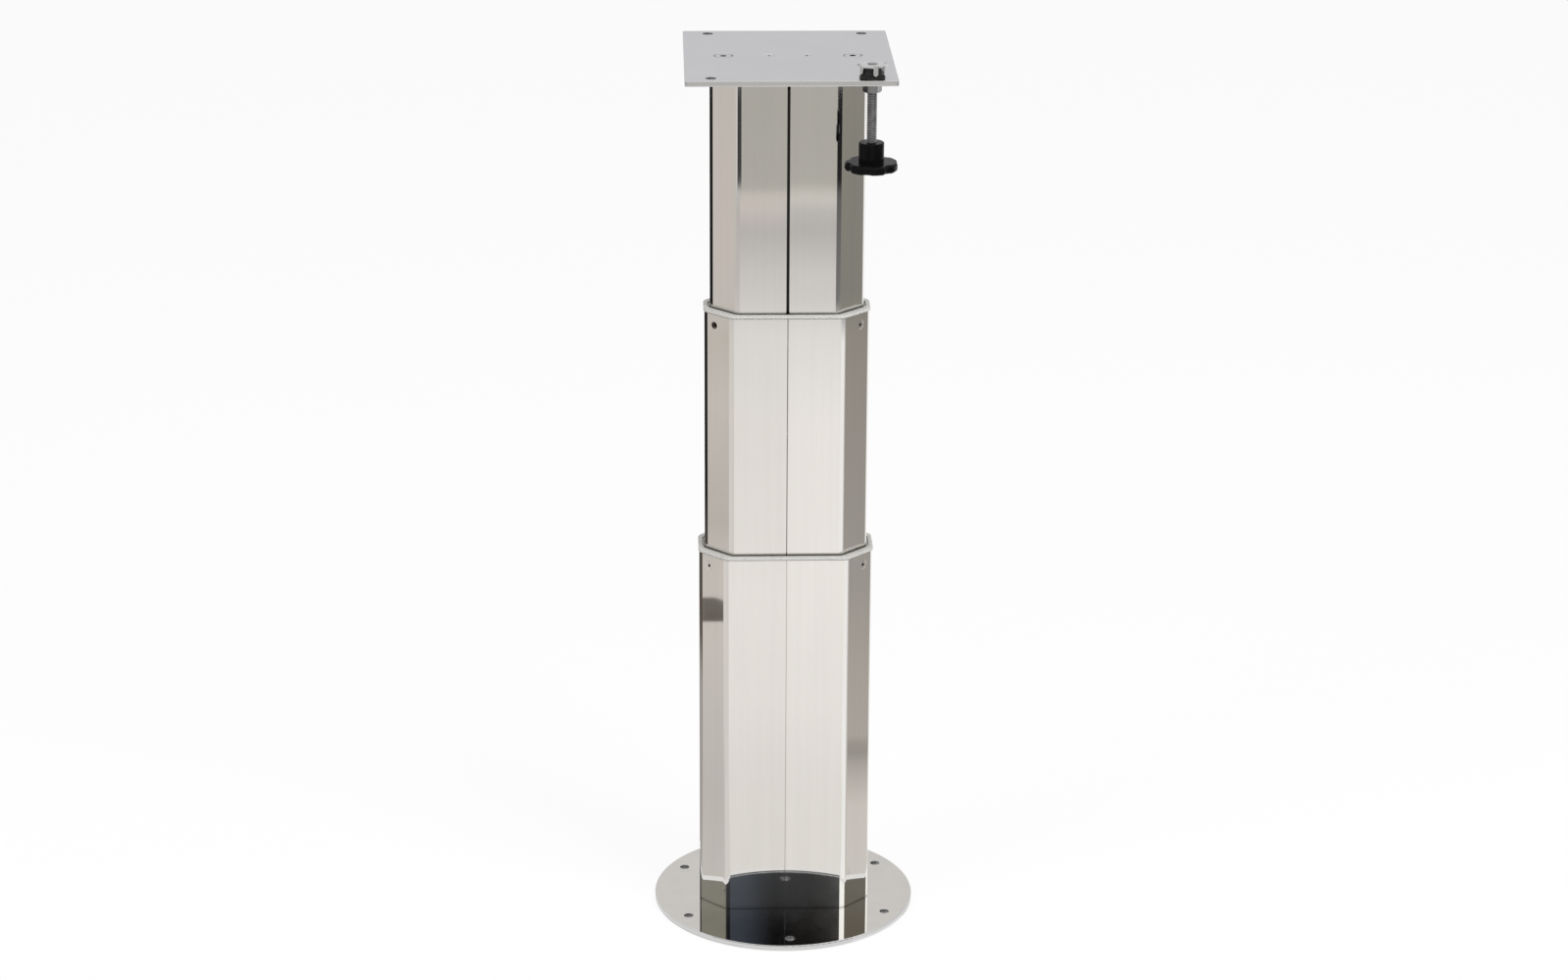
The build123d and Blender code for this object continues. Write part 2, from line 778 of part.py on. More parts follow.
hand_plane = Plane.XY.offset(knob_bottom).move(Location((hand_x, hand_y, 0)))
with BuildPart() as knob:
    with BuildSketch(hand_plane):
        Circle(knob_diameter / 2)
        scallop_centre = knob_diameter / 2 + knob_scallop_radius - knob_scallop_depth
        with PolarLocations(scallop_centre, knob_lobes):
            Circle(knob_scallop_radius, mode=Mode.SUBTRACT)
    extrude(amount=knob_disc_thickness)
    fillet(knob.edges().filter_by(Axis.Z), knob_lobe_radius)
    rims = knob.edges().group_by(Axis.Z)
    fillet(rims[0] + rims[-1], knob_edge_radius)
    with BuildSketch(hand_plane.offset(knob_disc_thickness)):
        Circle(knob_hub_diameter / 2)
    extrude(amount=knob_hub_height)
    fillet(knob.edges().group_by(Axis.Z)[-1], knob_hub_edge)
    with BuildSketch(hand_plane):
        Circle(knob_recess_diameter / 2)
    extrude(amount=knob_recess_depth, mode=Mode.SUBTRACT)
    with BuildSketch(hand_plane.offset(hand_rod_bottom - knob_bottom)):
        Circle(hand_rod_radius + fitted_gap)
    extrude(amount=knob_disc_thickness + knob_hub_height, mode=Mode.SUBTRACT)
save(knob.part, "knob")

hand_nut = group(
    hexagon_nut(nut_8_across_flats, nut_8_height, hand_rod_diameter + 2 * thread_gap),
    [Location((hand_x, hand_y, plate_underside - nut_8_height), (0, 0, hand_nut_turn))],
)
save(hand_nut, "hand_screw_nut")

# Rubber bush: a rim on the plate and a cone round the tee nut's barrel
tee_bottom = total_height + bush_floor
tee_underside = tee_bottom + tee_barrel_height
rubber_bush = turned(
    [
        (corner_hole_diameter / 2, total_height),
        (bush_diameter / 2, total_height),
        (bush_diameter / 2, total_height + bush_rim_height - bush_edge),
        (bush_diameter / 2 - bush_edge, total_height + bush_rim_height),
        (bush_cone_foot / 2, total_height + bush_rim_height),
        (bush_cone_top / 2, tee_underside),
        (tee_barrel_diameter / 2 + fitted_gap, tee_underside),
        (tee_barrel_diameter / 2 + fitted_gap, tee_bottom),
        (corner_hole_diameter / 2, tee_bottom),
    ],
    hand_x,
    hand_y,
)
save(rubber_bush, "rubber_bush")

# Tee nut: a drawn barrel with a flange, its four prongs cut from the flange and bent down
tee_plane = Plane(origin=(hand_x, hand_y, tee_underside))
with BuildPart() as tee_nut:
    with BuildSketch(Plane(origin=(hand_x, hand_y, tee_bottom))):
        Circle(tee_barrel_diameter / 2)
    extrude(amount=tee_barrel_height)
    with BuildSketch(tee_plane):
        Circle(tee_flange_diameter / 2)
        with PolarLocations(tee_flange_diameter / 2, tee_prong_count, start_angle=tee_prong_turn):
            notch_length = tee_flange_diameter - 2 * tee_prong_radius - 2 * tee_flange_thickness
            Rectangle(notch_length, tee_prong_width, mode=Mode.SUBTRACT)
    extrude(amount=tee_flange_thickness)
    for prong in range(tee_prong_count):
        turn = tee_prong_turn + prong * 360 / tee_prong_count
        prong_direction = Vector(1, 0, 0).rotate(Axis.Z, turn)
        prong_plane = Plane(
            origin=tee_plane.origin + prong_direction * tee_prong_radius,
            x_dir=Vector(0, 1, 0).rotate(Axis.Z, turn),
            z_dir=prong_direction,
        )
        with BuildSketch(prong_plane):
            with BuildLine():
                Polyline(
                    (-tee_prong_width / 2, tee_flange_thickness),
                    (tee_prong_width / 2, tee_flange_thickness),
                    (tee_prong_width / 2, tee_prong_point - tee_prong_length),
                    (0, -tee_prong_length),
                    (-tee_prong_width / 2, tee_prong_point - tee_prong_length),
                    close=True,
                )
            make_face()
        extrude(amount=tee_flange_thickness)
    with BuildSketch(Plane(origin=(hand_x, hand_y, tee_bottom))):
        Circle(hand_rod_radius + thread_gap)
    extrude(amount=tee_barrel_height + tee_flange_thickness, mode=Mode.SUBTRACT)
save(tee_nut.part, "tee_nut")
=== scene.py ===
from math import cos, pi, radians, sin, tan

import bpy
from mathutils import Matrix, Vector


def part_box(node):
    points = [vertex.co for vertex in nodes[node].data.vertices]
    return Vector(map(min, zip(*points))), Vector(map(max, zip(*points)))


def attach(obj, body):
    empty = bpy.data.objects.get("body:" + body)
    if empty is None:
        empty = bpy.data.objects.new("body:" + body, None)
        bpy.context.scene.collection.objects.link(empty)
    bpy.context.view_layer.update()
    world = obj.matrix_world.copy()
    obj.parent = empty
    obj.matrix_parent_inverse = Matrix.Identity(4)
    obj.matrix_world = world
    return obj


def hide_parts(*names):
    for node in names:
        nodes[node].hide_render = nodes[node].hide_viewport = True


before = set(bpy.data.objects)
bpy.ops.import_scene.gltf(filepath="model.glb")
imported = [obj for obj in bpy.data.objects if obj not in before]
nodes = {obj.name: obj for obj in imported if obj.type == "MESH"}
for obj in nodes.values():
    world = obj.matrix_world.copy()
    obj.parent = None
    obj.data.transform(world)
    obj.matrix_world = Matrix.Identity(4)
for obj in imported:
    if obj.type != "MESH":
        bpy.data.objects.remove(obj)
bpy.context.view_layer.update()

# The camera of the photograph: place in metres, angles in radians, focal length in picture widths
CAMERA_PLACE = Vector((-0.1065, -2.9066, 1.3973))
CAMERA_YAW = 0.0362
CAMERA_PITCH = 0.3398
CAMERA_ROLL = -0.0057
FOCAL_WIDTHS = 3800.0 / 1600.0
SENSOR_WIDTH_MM = 36.0
CAMERA_REACH = 50.0

# Colours of the finishes, linear
SHELL_STEEL = (0.85, 0.83, 0.80)
PLATE_STEEL = (0.75, 0.75, 0.75)
BASE_STEEL = (0.75, 0.75, 0.75)
ZINC_STEEL = (0.55, 0.56, 0.57)
SCREW_STEEL = (0.72, 0.72, 0.73)
ROD_STEEL = (0.42, 0.42, 0.43)
TEE_NUT_STEEL = (0.80, 0.80, 0.79)
GLIDE_GREY = (0.55, 0.545, 0.52)
KNOB_BLACK = (0.004, 0.004, 0.0045)
RUBBER_BLACK = (0.012, 0.012, 0.012)
CYLINDER_BLACK = (0.015, 0.015, 0.016)
OXIDE_BROWN = (0.10, 0.07, 0.05)
# Near-black of the strips behind the upper seam: painted shade of the narrow gap, on real strips
SEAM_SHADE_BLACK = (0.03, 0.03, 0.032)

# Grain directions: how often it changes along each axis
UPRIGHT_GRAIN = (40.0, 40.0, 1.0)
CROSS_GRAIN = (1.0, 30.0, 30.0)
EVEN_GRAIN = (1.0, 1.0, 1.0)

# Broad waves of the folded sheet: waves per metre along each axis, and their height in metres
SHEET_WAVES = (14.0, 14.0, 9.0)
SHEET_WAVE_HEIGHT = 0.000008

# Metal: cloudy patches and fine upright scratches, and their shares in the tone and the roughness
CLOUD_SCALE = 18.0
CLOUD_DETAIL = 5.0
CLOUD_ROUGHNESS = 0.6
GRAIN_TONE = 0.6
CLOUD_TONE = 0.4
SCRATCH_SCALE = 900.0
SCRATCH_STRETCH = (1.0, 1.0, 0.35)
SCRATCH_RANGE = (0.62, 0.8)
SCRATCH_SHARE = 0.6
METAL_GRAIN_HEIGHT = 0.00002

# Plastic: mottling, how far it varies the gloss, and the height of the moulded grain in metres
MOTTLE_SCALE = 60.0
GLOSS_RANGE = (0.8, 1.25)
COAT_ROUGHNESS = 0.08
PLASTIC_GRAIN_HEIGHT = 0.00003

# Painted shade in recesses: share of the colour that is left, and the openness of the surface
# where the painted shade is full and where it ends
SOCKET_SHADE = (0.06, 0.25, 0.62)
CONTACT_SHADE = (0.66, 0.30, 0.88)
COLLAR_SCREW_SHADE = (0.06, 0.35, 0.85)
OPENNESS_SAMPLES = 6
BEVEL_SAMPLES = 4

# Painted shade line round countersunk heads, where they meet their countersinks: where it starts
# and is full, by radius, and share of colour left
HEAD_EDGE_START = 0.78
HEAD_EDGE_FULL = 0.9
HEAD_EDGE_SHADE = 0.15


def new_material(name):
    """An empty node material with a Principled shader and an output."""
    material = bpy.data.materials.new(name)
    material.use_nodes = True
    tree = material.node_tree
    return material, tree, tree.nodes["Principled BSDF"]


def surface_place(tree, stretch, kind="Object"):
    """Coordinates scaled along each axis, so that a grain can be drawn out."""
    place = tree.nodes.new("ShaderNodeTexCoord")
    scaled = tree.nodes.new("ShaderNodeMapping")
    scaled.inputs["Scale"].default_value = stretch
    tree.links.new(place.outputs[kind], scaled.inputs["Vector"])
    return scaled.outputs["Vector"]


def noise(tree, vector, scale, detail=4.0, roughness=0.5):
    """A noise texture, from 0 to 1."""
    grain = tree.nodes.new("ShaderNodeTexNoise")
    grain.inputs["Scale"].default_value = scale
    grain.inputs["Detail"].default_value = detail
    grain.inputs["Roughness"].default_value = roughness
    tree.links.new(vector, grain.inputs["Vector"])
    return grain.outputs["Fac"]


def spread(tree, value, low, high, start=0.3, end=0.7):
    """Maps a value between start and end to low and high."""
    mapped = tree.nodes.new("ShaderNodeMapRange")
    mapped.inputs["From Min"].default_value = start
    mapped.inputs["From Max"].default_value = end
    mapped.inputs["To Min"].default_value = low
    mapped.inputs["To Max"].default_value = high
    tree.links.new(value, mapped.inputs["Value"])
    return mapped.outputs["Result"]


def arithmetic(tree, operation, first, second):
    """A math node on two sockets or numbers."""
    node = tree.nodes.new("ShaderNodeMath")
    node.operation = operation
    for socket, value in zip(node.inputs, (first, second)):
        if isinstance(value, (int, float)):
            socket.default_value = value
        else:
            tree.links.new(value, socket)
    return node.outputs["Value"]


def shade_between(tree, dark, light, factor):
    """A colour between two colours, each given as numbers or as a socket."""
    mixed = tree.nodes.new("ShaderNodeMix")
    mixed.data_type = "RGBA"
    for name, colour in (("A", dark), ("B", light)):
        if isinstance(colour, tuple):
            mixed.inputs[name].default_value = (*colour, 1.0)
        else:
            tree.links.new(colour, mixed.inputs[name])
    tree.links.new(factor, mixed.inputs["Factor"])
    return mixed.outputs["Result"]


def darker(colour, share):
    """The same colour, scaled down."""
    return tuple(channel * share for channel in colour)


def bump(tree, shader, height, strength, distance, edge_radius=0.0, waves=None):
    """Bump from a height, on normals that are rounded over sharp edges or follow broad waves."""
    relief = tree.nodes.new("ShaderNodeBump")
    relief.inputs["Strength"].default_value = strength
    relief.inputs["Distance"].default_value = distance
    tree.links.new(height, relief.inputs["Height"])
    if waves is not None:
        swell = tree.nodes.new("ShaderNodeBump")
        swell.inputs["Strength"].default_value = 1.0
        swell.inputs["Distance"].default_value = SHEET_WAVE_HEIGHT
        tree.links.new(waves, swell.inputs["Height"])
        tree.links.new(swell.outputs["Normal"], relief.inputs["Normal"])
    if edge_radius:
        rounded = tree.nodes.new("ShaderNodeBevel")
        rounded.samples = BEVEL_SAMPLES
        rounded.inputs["Radius"].default_value = edge_radius
        tree.links.new(rounded.outputs["Normal"], relief.inputs["Normal"])
    tree.links.new(relief.outputs["Normal"], shader.inputs["Normal"])


def crevice(tree, reach, own_form=False):
    """Openness of the surface: 1 in the open, lower in sockets, thread roots and narrow gaps.

    With own_form only the piece itself closes it in, and not its neighbours or the floor.
    """
    open_share = tree.nodes.new("ShaderNodeAmbientOcclusion")
    open_share.samples = OPENNESS_SAMPLES
    open_share.only_local = own_form
    open_share.inputs["Distance"].default_value = reach
    return open_share.outputs["AO"]


def head_gap_shade(tree, across, radius):
    """Painted shade line: 1 at the outer edge of screw heads that stand at both sides of the
    middle, 0 on the heads.
    """
    place = tree.nodes.new("ShaderNodeTexCoord")
    parts = tree.nodes.new("ShaderNodeSeparateXYZ")
    tree.links.new(place.outputs["Object"], parts.inputs["Vector"])
    from_middle = arithmetic(tree, "ABSOLUTE", parts.outputs["X"], 0.0)
    sideways = arithmetic(tree, "SUBTRACT", from_middle, across)
    squares = arithmetic(
        tree, "ADD",
        arithmetic(tree, "POWER", sideways, 2.0),
        arithmetic(tree, "POWER", parts.outputs["Y"], 2.0),
    )
    from_axis = arithmetic(tree, "SQRT", squares, 0.0)
    return spread(tree, from_axis, 0.0, 1.0, radius * HEAD_EDGE_START, radius * HEAD_EDGE_FULL)


def head_place(name):
    """Distance of a pair of screws from the middle and the radius of their heads."""
    low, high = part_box(name)
    radius = (high[1] - low[1]) / 2
    return high[0] - radius, radius


def metal(
    name, colour, rough, grain, grain_scale, relief, edge_radius,
    streaks=0.93, shade_reach=0.0, recess_shade=SOCKET_SHADE, own_shade=False, wavy=False, ring=None,
):
    """Polished or ground metal: drawn-out grain, fine scratches and cloudy roughness.

    Narrow recesses within the shade reach, in metres, get painted shade, and folded sheet is
    slightly wavy.
    A ring is the place across and the radius of screw heads, whose edges get a painted shade line.
    """
    rough_low, rough_high = rough
    material, tree, shader = new_material(name)
    shader.inputs["Metallic"].default_value = 1.0
    grain_lines = noise(tree, surface_place(tree, grain), grain_scale, 3.0)
    clouds = noise(
        tree, surface_place(tree, EVEN_GRAIN), CLOUD_SCALE, CLOUD_DETAIL, CLOUD_ROUGHNESS
    )
    scratches = noise(tree, surface_place(tree, SCRATCH_STRETCH), SCRATCH_SCALE, 2.0)
    tone = arithmetic(
        tree, "ADD",
        spread(tree, grain_lines, 0.0, GRAIN_TONE),
        spread(tree, clouds, 0.0, CLOUD_TONE),
    )
    shade = shade_between(tree, darker(colour, streaks), colour, tone)
    # Painted shade: recesses that ambient occlusion finds within the shade reach take a darker
    # colour
    if shade_reach:
        left, closed, opened = recess_shade
        openness = spread(tree, crevice(tree, shade_reach, own_shade), 0.0, 1.0, closed, opened)
        shade = shade_between(tree, darker(colour, left), shade, openness)
    # Painted shade line round the edge of each screw head
    if ring:
        shade = shade_between(
            tree, shade, darker(colour, HEAD_EDGE_SHADE), head_gap_shade(tree, *ring)
        )
    tree.links.new(shade, shader.inputs["Base Color"])
    cloudy = spread(tree, clouds, rough_low, rough_high)
    deepest_mark = (rough_high - rough_low) * SCRATCH_SHARE
    marks = spread(tree, scratches, 0.0, deepest_mark, *SCRATCH_RANGE)
    tree.links.new(arithmetic(tree, "ADD", cloudy, marks), shader.inputs["Roughness"])
    waves = noise(tree, surface_place(tree, SHEET_WAVES), 1.0, 1.0) if wavy else None
    bump(tree, shader, grain_lines, relief, METAL_GRAIN_HEIGHT, edge_radius, waves)
    return material


def plastic(
    name, colour, roughness, coat, grain_scale, relief,
    specular=0.5, edge_radius=0.0003, mottling=0.86,
):
    """Moulded plastic or rubber: slight mottling, uneven gloss and a fine moulded grain."""
    material, tree, shader = new_material(name)
    shader.inputs["Specular IOR Level"].default_value = specular
    place = surface_place(tree, EVEN_GRAIN)
    mottle = noise(tree, place, MOTTLE_SCALE)
    grain = noise(tree, place, grain_scale, 2.0)
    shade = shade_between(tree, darker(colour, mottling), colour, spread(tree, mottle, 0.0, 1.0))
    tree.links.new(shade, shader.inputs["Base Color"])
    smoothest, roughest = GLOSS_RANGE
    gloss = spread(tree, mottle, roughness * smoothest, roughness * roughest)
    tree.links.new(gloss, shader.inputs["Roughness"])
    shader.inputs["Coat Weight"].default_value = coat
    shader.inputs["Coat Roughness"].default_value = COAT_ROUGHNESS
    bump(tree, shader, grain, relief, PLASTIC_GRAIN_HEIGHT, edge_radius)
    return material


# A shade reach paints shade into sockets, thread roots, hole walls and narrow gaps
shell_steel = metal(
    "polished_shell_steel", SHELL_STEEL, (0.025, 0.05), UPRIGHT_GRAIN, 5.0, 0.012, 0.0,
    streaks=0.95, shade_reach=0.004, recess_shade=CONTACT_SHADE, wavy=True,
)
plate_steel = metal(
    "satin_plate_steel", PLATE_STEEL, (0.16, 0.24), CROSS_GRAIN, 30.0, 0.06, 0.0004,
    shade_reach=0.012,
)
plate_screw_steel = metal(
    "satin_screw_steel", PLATE_STEEL, (0.16, 0.24), CROSS_GRAIN, 30.0, 0.06, 0.0004,
    shade_reach=0.006, ring=head_place("plate_screws"),
)
base_steel = metal(
    "polished_base_steel", BASE_STEEL, (0.02, 0.045), EVEN_GRAIN, 60.0, 0.02, 0.0004,
    shade_reach=0.010, own_shade=True,
)
zinc_steel = metal("zinc_bracket_steel", ZINC_STEEL, (0.3, 0.45), EVEN_GRAIN, 90.0, 0.1, 0.0003)
screw_steel = metal(
    "bright_screw_steel", SCREW_STEEL, (0.12, 0.22), EVEN_GRAIN, 200.0, 0.05, 0.0002
)
tee_nut_steel = metal(
    "dull_tee_nut_steel", TEE_NUT_STEEL, (0.20, 0.30), EVEN_GRAIN, 200.0, 0.05, 0.0002,
    shade_reach=0.003,
)
rod_steel = metal(
    "threaded_rod_steel", ROD_STEEL, (0.08, 0.16), EVEN_GRAIN, 170.0, 0.05, 0.0,
    streaks=0.45, shade_reach=0.0012,
)
collar_screw_steel = metal(
    "polished_screw_steel", SHELL_STEEL, (0.05, 0.09), EVEN_GRAIN, 200.0, 0.03, 0.0,
    shade_reach=0.005, recess_shade=COLLAR_SCREW_SHADE,
)
rod_chrome = metal("hard_chrome", SHELL_STEEL, (0.03, 0.08), EVEN_GRAIN, 100.0, 0.02, 0.0002)
oxide_steel = metal(
    "brown_oxide_steel", OXIDE_BROWN, (0.35, 0.5), EVEN_GRAIN, 200.0, 0.1, 0.0002,
    streaks=0.85, shade_reach=0.002,
)
# The upper seam strips are real; their near-black colour is painted shade of the narrow seam
seam_strip_shade_steel = metal(
    "black_seam_strip_shade", SEAM_SHADE_BLACK, (0.45, 0.6), UPRIGHT_GRAIN, 20.0, 0.1, 0.0
)
glide_plastic = plastic(
    "light_grey_glide_plastic", GLIDE_GREY, 0.42, 0.0, 400.0, 0.01,
    edge_radius=0.0, mottling=0.97,
)
knob_plastic = plastic(
    "gloss_black_knob_plastic", KNOB_BLACK, 0.14, 0.0, 700.0, 0.08, specular=0.08
)
washer_rubber = plastic(
    "black_washer_rubber", RUBBER_BLACK, 0.6, 0.0, 1200.0, 0.3, specular=0.35
)
cylinder_paint = plastic("satin_black_paint", CYLINDER_BLACK, 0.3, 0.2, 800.0, 0.1)

finishes = {
    shell_steel: [
        "lower_left_shell", "lower_right_shell", "middle_left_shell", "middle_right_shell",
        "upper_left_shell", "upper_right_shell",
    ],
    collar_screw_steel: ["lower_collar_screws", "middle_collar_screws"],
    plate_steel: ["top_plate", "small_plate_screws"],
    plate_screw_steel: ["plate_screws"],
    base_steel: ["base_plate"],
    zinc_steel: ["base_bracket", "bridge_plate", "top_bracket"],
    screw_steel: [
        "base_screws", "base_screw_nuts", "plate_screw_nuts", "small_screw_nut", "lower_rod_nut",
        "upper_rod_nut", "lower_spring_nut", "upper_spring_nut",
    ],
    tee_nut_steel: ["tee_nut"],
    rod_steel: ["hand_screw_rod", "hand_screw_nut"],
    oxide_steel: ["middle_grub_screws"],
    seam_strip_shade_steel: ["upper_seam_strips"],
    glide_plastic: ["lower_collar", "middle_collar", "middle_foot_glide", "upper_foot_glide"],
    cylinder_paint: ["lower_spring_cylinder", "upper_spring_cylinder"],
    rod_chrome: ["lower_spring_rod", "upper_spring_rod"],
    washer_rubber: [
        "rubber_bush", "lower_spring_guide", "upper_spring_guide", "lower_spring_piston",
        "upper_spring_piston",
    ],
    knob_plastic: ["knob"],
}
for finish, names in finishes.items():
    for name in names:
        slots = nodes[name].data.materials
        slots.clear()
        slots.append(finish)


# Thread of the hand screw, in metres
THREAD_PITCH = 0.00125
THREAD_DEPTH = 0.0007
THREAD_STEPS = 6
THREAD_SIDES = 32
THREAD_END_BEVEL = 0.0006

# Share of half a pitch that the flat crest and each flank take up
THREAD_CREST_SHARE = 0.35
THREAD_FLANK_SHARE = 0.5


def thread_radius(crest, height, angle, ends):
    """Radius of a thread at a height and angle: flat crest, sloping flanks and a narrow root."""
    phase = (height / THREAD_PITCH - angle / (2 * pi)) % 1.0
    from_crest = abs(phase - 0.5) * 2.0
    sunk = min(max((from_crest - THREAD_CREST_SHARE) / THREAD_FLANK_SHARE, 0.0), 1.0)
    to_end = min(height - ends[0], ends[1] - height)
    end_limit = crest - THREAD_END_BEVEL + max(to_end, 0.0)
    return min(crest - THREAD_DEPTH * sunk, end_limit)


def add_threaded_rod():
    """The hand screw's rod with its helical thread, in place of the plain rod."""
    low, high = (Vector(corner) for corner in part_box("hand_screw_rod"))
    axis_x = (low.x + high.x) / 2
    axis_y = (low.y + high.y) / 2
    crest = (high.x - low.x) / 2
    rows = round((high.z - low.z) / THREAD_PITCH * THREAD_STEPS)
    vertices = []
    for row in range(rows + 1):
        height = low.z + (high.z - low.z) * row / rows
        for side in range(THREAD_SIDES):
            angle = 2 * pi * side / THREAD_SIDES
            radius = thread_radius(crest, height, angle, (low.z, high.z))
            vertices.append((axis_x + radius * cos(angle), axis_y + radius * sin(angle), height))
    faces = []
    for row in range(rows):
        for side in range(THREAD_SIDES):
            this = row * THREAD_SIDES + side
            after = row * THREAD_SIDES + (side + 1) % THREAD_SIDES
            faces.append((this, after, after + THREAD_SIDES, this + THREAD_SIDES))
    faces.append(tuple(reversed(range(THREAD_SIDES))))
    faces.append(tuple(rows * THREAD_SIDES + side for side in range(THREAD_SIDES)))
    mesh = bpy.data.meshes.new("threaded_rod")
    mesh.from_pydata(vertices, [], faces)
    for face in mesh.polygons[:-2]:
        face.use_smooth = True
    mesh.materials.append(rod_steel)
    rod = bpy.data.objects.new("threaded_rod", mesh)
    bpy.context.scene.collection.objects.link(rod)
    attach(rod, "hand_screw")
    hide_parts("hand_screw_rod")


def add_camera():
    """The photograph's camera."""
    ahead = Vector(
        (
            sin(CAMERA_YAW) * cos(CAMERA_PITCH),
            cos(CAMERA_YAW) * cos(CAMERA_PITCH),
            -sin(CAMERA_PITCH),
        )
    )
    right = ahead.cross(Vector((0.0, 0.0, 1.0))).normalized()
    down = ahead.cross(right)
    rolled_right = cos(CAMERA_ROLL) * right + sin(CAMERA_ROLL) * down
    rolled_down = -sin(CAMERA_ROLL) * right + cos(CAMERA_ROLL) * down
    turn = Matrix((rolled_right, -rolled_down, -ahead)).transposed()
    lens = bpy.data.cameras.new("photo_camera")
    lens.sensor_width = SENSOR_WIDTH_MM
    lens.lens = FOCAL_WIDTHS * SENSOR_WIDTH_MM
    lens.clip_end = CAMERA_REACH
    camera = bpy.data.objects.new("photo_camera", lens)
    camera.matrix_world = Matrix.Translation(CAMERA_PLACE) @ turn.to_4x4()
    bpy.context.scene.collection.objects.link(camera)
    bpy.context.scene.camera = camera


def quad(name, corners):
    """A flat sheet through four corners."""
    mesh = bpy.data.meshes.new(name)
    mesh.from_pydata([Vector(corner) for corner in corners], [], [(0, 1, 2, 3)])
    sheet = bpy.data.objects.new(name, mesh)
    bpy.context.scene.collection.objects.link(sheet)
    return sheet


def floor_material():
    """White floor that metal shows as white, with a soft shadow, and painted shade under the leg: a
    disc where it doesn't glow.
    """
    material, tree, shader = new_material("white_floor")
    shader.inputs["Base Color"].default_value = (*grey(FLOOR_WHITE), 1.0)
    shader.inputs["Roughness"].default_value = FLOOR_ROUGHNESS
    shader.inputs["Specular IOR Level"].default_value = 0.0
    glow = tree.nodes.new("ShaderNodeEmission")
    glow.inputs["Color"].default_value = (1.0, 1.0, 1.0, 1.0)
    rays = tree.nodes.new("ShaderNodeLightPath")
    place = tree.nodes.new("ShaderNodeTexCoord")
    reach = tree.nodes.new("ShaderNodeVectorMath")
    reach.operation = "LENGTH"
    tree.links.new(place.outputs["Object"], reach.inputs[0])
    # Painted shade: the disc under the leg gets no glow, so it stays dark
    outside_shade_disc = arithmetic(tree, "GREATER_THAN", reach.outputs["Value"], SHADE_DISC_RADIUS)
    seen = arithmetic(tree, "MULTIPLY", rays.outputs["Is Camera Ray"], FLOOR_GLOW_SHARE)
    mirrored = arithmetic(
        tree, "MAXIMUM", rays.outputs["Is Glossy Ray"], rays.outputs["Is Transmission Ray"]
    )
    glowing = arithmetic(tree, "MAXIMUM", seen, mirrored)
    share = arithmetic(tree, "MULTIPLY", glowing, outside_shade_disc)
    mix = tree.nodes.new("ShaderNodeMixShader")
    tree.links.new(share, mix.inputs["Fac"])
    tree.links.new(shader.outputs["BSDF"], mix.inputs[1])
    tree.links.new(glow.outputs["Emission"], mix.inputs[2])
    tree.links.new(mix.outputs["Shader"], tree.nodes["Material Output"].inputs["Surface"])
    return material


def card_material():
    """Plain glow of a card that only metal sees, in the colours painted on its corners."""
    material, tree, shader = new_material("studio_card")
    tree.nodes.remove(shader)
    paint = tree.nodes.new("ShaderNodeVertexColor")
    paint.layer_name = "paint"
    glow = tree.nodes.new("ShaderNodeEmission")
    tree.links.new(paint.outputs["Color"], glow.inputs["Color"])
    tree.links.new(glow.outputs["Emission"], tree.nodes["Material Output"].inputs["Surface"])
    return material


def add_card(name, rows, finish):
    """A card seen in reflections only: rows of (points across, colour), nearest first."""
    columns = len(rows[0][0])
    points = [point for across, colour in rows for point in across]
    faces = []
    for row in range(len(rows) - 1):
        for column in range(columns - 1):
            first = row * columns + column
            faces.append((first, first + 1, first + columns + 1, first + columns))
    mesh = bpy.data.meshes.new(name)
    mesh.from_pydata(points, [], faces)
    paint = mesh.color_attributes.new("paint", "FLOAT_COLOR", "POINT")
    for index, point in enumerate(paint.data):
        point.color = (*rows[index // columns][1], 1.0)
    mesh.materials.append(finish)
    card = bpy.data.objects.new(name, mesh)
    bpy.context.scene.collection.objects.link(card)
    card.visible_camera = False
    card.visible_diffuse = False
    card.visible_shadow = False
    card.visible_transmission = False


def wedge(start_deg, end_deg, stops, height):
    """Rows of a wedge of floor about the leg between two directions, seen from above.

    Directions are measured from +X, and stops are (distance, colour), nearest first.
    """
    steps = max(1, round((end_deg - start_deg) / WEDGE_STEP_DEG))
    angles = [
        radians(start_deg + (end_deg - start_deg) * step / steps) for step in range(steps + 1)
    ]
    return [
        ([(distance * cos(angle), distance * sin(angle), height) for angle in angles], colour)
        for distance, colour in stops
    ]


def side_strip(stops, height):
    """Rows of the floor behind the leg that its left side face mirrors, up to the back split."""
    rows = []
    for distance, colour in stops:
        inner = -SIDE_STRIP_START - SIDE_STRIP_SLOPE * distance
        outer = min(inner, distance * tan(radians(90 - BACK_SPLIT_DEG))) - SIDE_STRIP_OVERLAP
        rows.append(([(inner, distance, height), (outer, distance, height)], colour))
    return rows


def grey(level):
    """Neutral colour of one brightness."""
    return (level, level, level)


# The floor, in metres: its size, its drop under the base plate and the radius of the painted shade
# disc under the leg, where the floor doesn't glow
FLOOR_SIZE = 30.0
FLOOR_DROP = 0.0002
SHADE_DISC_RADIUS = 0.108
FLOOR_WHITE = 0.95
FLOOR_ROUGHNESS = 0.9
FLOOR_GLOW_SHARE = 0.88

# The cards lie on the floor, and small ones lie on top of the others
CARD_LIFT = 0.001
UPPER_CARD_LIFT = 0.002
WEDGE_STEP_DEG = 3.0
FRONT_SPLIT_DEG = -87.9
BACK_SPLIT_DEG = 110.0

